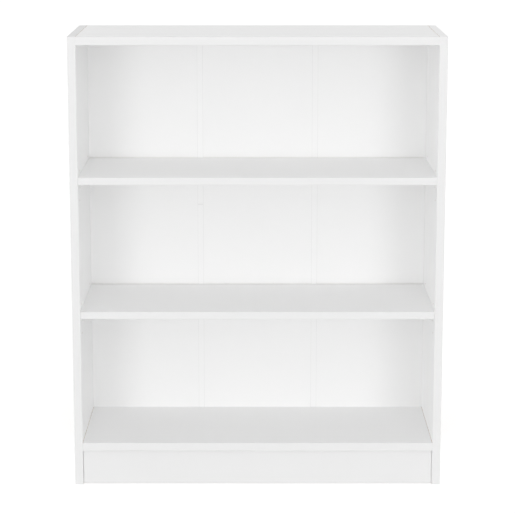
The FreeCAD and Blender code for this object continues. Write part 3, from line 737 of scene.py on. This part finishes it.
def place_copies(shape, starts, ways):
    """Copies of a shape, each from its start along its own way, where the shape's Z axis then points."""
    vertices, faces = shape
    ways = np.asarray(ways, float)
    sideways = np.roll(ways, 1, axis=1)
    axes = np.stack([sideways, np.cross(ways, sideways), ways], axis=1)
    moved = np.einsum("vi,nij->nvj", vertices, axes) + np.asarray(starts)[:, None, :]
    shifted = faces[None] + np.arange(len(moved))[:, None, None] * len(vertices)
    return moved.reshape(-1, 3), shifted.reshape(-1, 3)


def add_piece(name, shape, material, node):
    """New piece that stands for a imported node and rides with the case."""
    vertices, faces = shape
    mesh = bpy.data.meshes.new(name)
    mesh.from_pydata(vertices.tolist(), [], faces.tolist())
    mesh.shade_smooth()
    mesh.set_sharp_from_angle(angle=SHARP_ANGLE)
    mesh.materials.append(material)
    piece = bpy.data.objects.new(name, mesh)
    bpy.context.scene.collection.objects.link(piece)
    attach(piece, CASE_BODY)
    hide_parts(node)
    return piece


# Stage

def seen_directly(tree):
    """1 for rays from the camera, off glossy surfaces and through glass, otherwise 0."""
    rays = tree.nodes.new("ShaderNodeLightPath").outputs
    mirrored = calculate(tree, "MAXIMUM", rays["Is Glossy Ray"], rays["Is Transmission Ray"])
    return calculate(tree, "MAXIMUM", rays["Is Camera Ray"], mirrored)


def add_floor(stage):
    """Flat floor at the foot of the case, white to the camera and darker only where the case shades it."""
    reach = stage.floor_reach
    corner_x, corner_y = np.meshgrid((-reach, reach), (-reach, reach))
    corners = np.stack([corner_x, corner_y, np.full_like(corner_x, FLOOR_LEVEL)], axis=-1).reshape(-1, 3)
    mesh = bpy.data.meshes.new("floor")
    mesh.from_pydata(corners.tolist(), [], [(0, 1, 3, 2)])
    material, tree, shader, _ = new_material("pale floor")
    shader.inputs["Base Color"].default_value = opaque(stage.floor)
    shader.inputs["Roughness"].default_value = FLOOR_ROUGHNESS
    shader.inputs["Emission Color"].default_value = (1, 1, 1, 1)
    lift = calculate(tree, "MULTIPLY", seen_directly(tree), stage.floor_lift)
    tree.links.new(lift, shader.inputs["Emission Strength"])
    mesh.materials.append(material)
    floor = bpy.data.objects.new("floor", mesh)
    bpy.context.scene.collection.objects.link(floor)


def add_surroundings(stage):
    """World that is white to the camera and lights the case evenly from all round."""
    world = bpy.data.worlds.new("studio")
    world.use_nodes = True
    tree = world.node_tree
    tree.nodes.clear()
    even = add_node(tree, "ShaderNodeBackground", {"Color": (1, 1, 1, 1), "Strength": stage.ambient})
    white = add_node(tree, "ShaderNodeBackground", {"Color": (1, 1, 1, 1), "Strength": 1.0})
    chosen = add_node(
        tree, "ShaderNodeMixShader", {0: seen_directly(tree), 1: even.outputs[0], 2: white.outputs[0]}
    )
    add_node(tree, "ShaderNodeOutputWorld", {"Surface": chosen.outputs[0]})
    bpy.context.scene.world = world


def add_lamp(name, turn, height, spread, light, fill=False):
    """Far lamp, turned from the front to the right; a fill casts no shadow and has no highlight."""
    lamp = bpy.data.lights.new(name, "SUN")
    lamp.energy = light
    lamp.angle = spread
    lamp.use_shadow = not fill
    stand = bpy.data.objects.new(name, lamp)
    stand.visible_glossy = not fill
    stand.rotation_euler = (math.pi / 2 - height, 0, turn)
    bpy.context.scene.collection.objects.link(stand)


def add_camera(stage):
    """Camera in front of the case, above it and looking a little down."""
    camera = bpy.data.objects.new("camera", bpy.data.cameras.new("camera"))
    camera.data.lens = stage.lens
    camera.location = (0, CASE_FRONT - stage.eye_distance, stage.eye_height)
    camera.rotation_euler = (math.pi / 2 - stage.tilt, 0, 0)
    bpy.context.scene.collection.objects.link(camera)
    bpy.context.scene.camera = camera


# Operators

class BOOKCASE_OT_boards(Operator):
    """Face the boards with white foil and leave their cut edges and holes as bare chipboard"""

    bl_idname = "bookcase.boards"
    bl_label = "Boards"
    bl_options = {"REGISTER", "UNDO"}

    def execute(self, context):
        settings = context.scene.bookcase.boards
        sides = ("left_side_panel", "right_side_panel")
        dress(sides, faced_board("white side board", settings, settings.facing, sides[0]))
        # The plinth takes the darker foil, which is painted shade.
        plinth = faced_board("white plinth with painted shade", settings, settings.plinth, "plinth_board", wrapped=True)
        dress(["plinth_board"], plinth)
        for node in ("upper_shelf", "lower_shelf"):
            dress([node], faced_board(f"white {node}", settings, settings.facing, node, wrapped=True))
        for node in ("top_panel", "bottom_panel"):
            dress([node], faced_board(f"white {node}", settings, settings.facing, node))
        return {"FINISHED"}


class BOOKCASE_OT_edgings(Operator):
    """Finish the plastic edging on the front edges and the top ends of the sides"""

    bl_idname = "bookcase.edgings"
    bl_label = "Edgings"
    bl_options = {"REGISTER", "UNDO"}

    def execute(self, context):
        settings = context.scene.bookcase.boards
        strip = settings.edging_roughness, settings.edging_grain, settings.edging_grain_depth
        dress(nodes_of("white_edging"), plain_white("white edging", settings.edging, *strip))
        # The two top ends are one edging, darker on the left as painted shade and paler on the right as
        # painted light.
        dress(["left_side_top_edging"], plain_white("edging with painted shade", settings.left_end_shade, *strip))
        dress(["right_side_top_edging"], plain_white("edging with painted light", settings.right_end_light, *strip))
        return {"FINISHED"}


class BOOKCASE_OT_back(Operator):
    """Finish the hardboard panels of the back and the strips that join them"""

    bl_idname = "bookcase.back"
    bl_label = "Back"
    bl_options = {"REGISTER", "UNDO"}

    def execute(self, context):
        settings = context.scene.bookcase.back
        panels = nodes_of("white_hardboard")
        dress(panels, hardboard("white hardboard", settings, panels[0]))
        for node in nodes_of("white_plastic"):
            if node.startswith("back_strip"):
                dress([node], joining_strip(f"drawn plastic {node}", settings, node))
        return {"FINISHED"}


class BOOKCASE_OT_mouldings(Operator):
    """Finish the shelf supports and the plinth's corner blocks"""

    bl_idname = "bookcase.mouldings"
    bl_label = "Supports and blocks"
    bl_options = {"REGISTER", "UNDO"}

    def execute(self, context):
        settings = context.scene.bookcase.mouldings
        moulded = plain_white(
            "moulded white plastic", settings.plastic, settings.roughness,
            settings.grain, settings.grain_depth,
        )
        dress([node for node in nodes_of("white_plastic") if not node.startswith("back_strip")], moulded)
        return {"FINISHED"}


class BOOKCASE_OT_dowels(Operator):
    """Make the fluted beech dowels"""

    bl_idname = "bookcase.dowels"
    bl_label = "Dowels"
    bl_options = {"REGISTER", "UNDO"}

    def execute(self, context):
        settings = context.scene.bookcase.dowels
        for node in nodes_of("beech"):
            boxes = separate_boxes(node, {0: FIXING_SPACING, 1: FIXING_SPACING})
            extent = boxes[0, 1] - boxes[0, 0]
            along = int(np.argmax(extent))
            starts = np.where(np.arange(3) == along, boxes[:, 0], boxes.mean(axis=1))
            ways = np.repeat(AXES[along][None], len(boxes), axis=0)
            shape = fluted_dowel(extent[along], extent[along - 1] / 2, settings)
            wood = beech(f"beech {node}", settings, along)
            add_piece(f"{node}_fluted", place_copies(shape, starts, ways), wood, node)
        return {"FINISHED"}


class BOOKCASE_OT_metal(Operator):
    """Make the threaded bolts and screws and finish the cam locks and nails"""

    bl_idname = "bookcase.metal"
    bl_label = "Metal fixings"
    bl_options = {"REGISTER", "UNDO"}

    def execute(self, context):
        settings = context.scene.bookcase
        metal = settings.metal
        zinc = plated_metal(
            "die-cast zinc", metal.zinc, metal.zinc_roughness, metal.zinc_grain, metal.grain_depth
        )
        steel = plated_metal(
            "plated steel", metal.steel, metal.steel_roughness, metal.steel_grain, metal.grain_depth
        )
        dress(nodes_of("zinc"), zinc)
        dress(["back_panel_nails"], steel)
        for node in ("top_cam_bolts", "bottom_cam_bolts"):
            boxes = separate_boxes(node, {0: FIXING_SPACING, 1: FIXING_SPACING})
            middle = boxes.mean(axis=1)
            inward = -np.sign(middle[:, :1]) * AXES[0]
            starts = np.where(inward != 0, np.where(inward > 0, boxes[:, 0], boxes[:, 1]), middle)
            bolts = place_copies(cam_bolt(settings.bolts), starts, inward)
            add_piece(f"{node}_threaded", bolts, steel, node)
        boxes = separate_boxes("corner_block_screws", {0: SCREW_SPACING})
        middle = boxes.mean(axis=1)
        extent = boxes[:, 1] - boxes[:, 0]
        away = np.where(extent[:, 1:2] > extent[:, 2:], AXES[1], -AXES[2])
        starts = np.where(away != 0, np.where(away > 0, boxes[:, 0], boxes[:, 1]), middle)
        screws = place_copies(block_screw(settings.screws), starts, away)
        add_piece("corner_block_screws_threaded", screws, steel, "corner_block_screws")
        return {"FINISHED"}


class BOOKCASE_OT_stage(Operator):
    """Set up the floor, lamps, background and camera"""

    bl_idname = "bookcase.stage"
    bl_label = "Stage"
    bl_options = {"REGISTER", "UNDO"}

    def execute(self, context):
        settings = context.scene.bookcase.stage
        add_floor(settings)
        add_surroundings(settings)
        front = settings.front_height, settings.front_spread, settings.front_strength
        for place in range(-1, 2):
            turn = settings.front_turn + place * settings.front_step
            add_lamp("left front lamp", -turn, *front)
            add_lamp("right front lamp", turn, *front)
        add_lamp("upper lamp", 0, settings.upper_height, settings.upper_spread, settings.upper_strength)
        side = settings.fill_height, settings.fill_spread
        add_lamp("left fill", -math.pi / 2, *side, settings.left_fill, fill=True)
        add_lamp("right fill", math.pi / 2, *side, settings.right_fill, fill=True)
        add_camera(settings)
        context.scene.view_settings.view_transform = "Standard"
        return {"FINISHED"}


class BOOKCASE_PT_looks(Panel):
    """Settings and steps of the bookcase"""

    bl_label = "White bookcase"
    bl_space_type = "VIEW_3D"
    bl_region_type = "UI"
    bl_category = "Bookcase"

    def draw(self, context):
        settings = context.scene.bookcase
        for group in BookcaseSettings.__annotations__:
            box = self.layout.box()
            box.label(text=group.capitalize())
            owner = getattr(settings, group)
            for name in type(owner).__annotations__:
                box.prop(owner, name)
        for step in STEPS:
            self.layout.operator(step.bl_idname)


STEPS = (
    BOOKCASE_OT_boards,
    BOOKCASE_OT_edgings,
    BOOKCASE_OT_back,
    BOOKCASE_OT_mouldings,
    BOOKCASE_OT_dowels,
    BOOKCASE_OT_metal,
    BOOKCASE_OT_stage,
)
SETTINGS = (
    BoardSettings,
    BackSettings,
    MouldingSettings,
    DowelSettings,
    MetalSettings,
    BoltSettings,
    ScrewSettings,
    StageSettings,
    BookcaseSettings,
)
CLASSES = (*SETTINGS, *STEPS, BOOKCASE_PT_looks)


def register():
    """Add the settings, steps and panel to Blender."""
    for item in CLASSES:
        bpy.utils.register_class(item)
    bpy.types.Scene.bookcase = PointerProperty(type=BookcaseSettings)


def unregister():
    """Take them out again."""
    del bpy.types.Scene.bookcase
    for item in reversed(CLASSES):
        bpy.utils.unregister_class(item)


def main():
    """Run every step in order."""
    register()
    bpy.ops.bookcase.boards()
    bpy.ops.bookcase.edgings()
    bpy.ops.bookcase.back()
    bpy.ops.bookcase.mouldings()
    bpy.ops.bookcase.dowels()
    bpy.ops.bookcase.metal()
    bpy.ops.bookcase.stage()


if __name__ == "__main__":
    main()
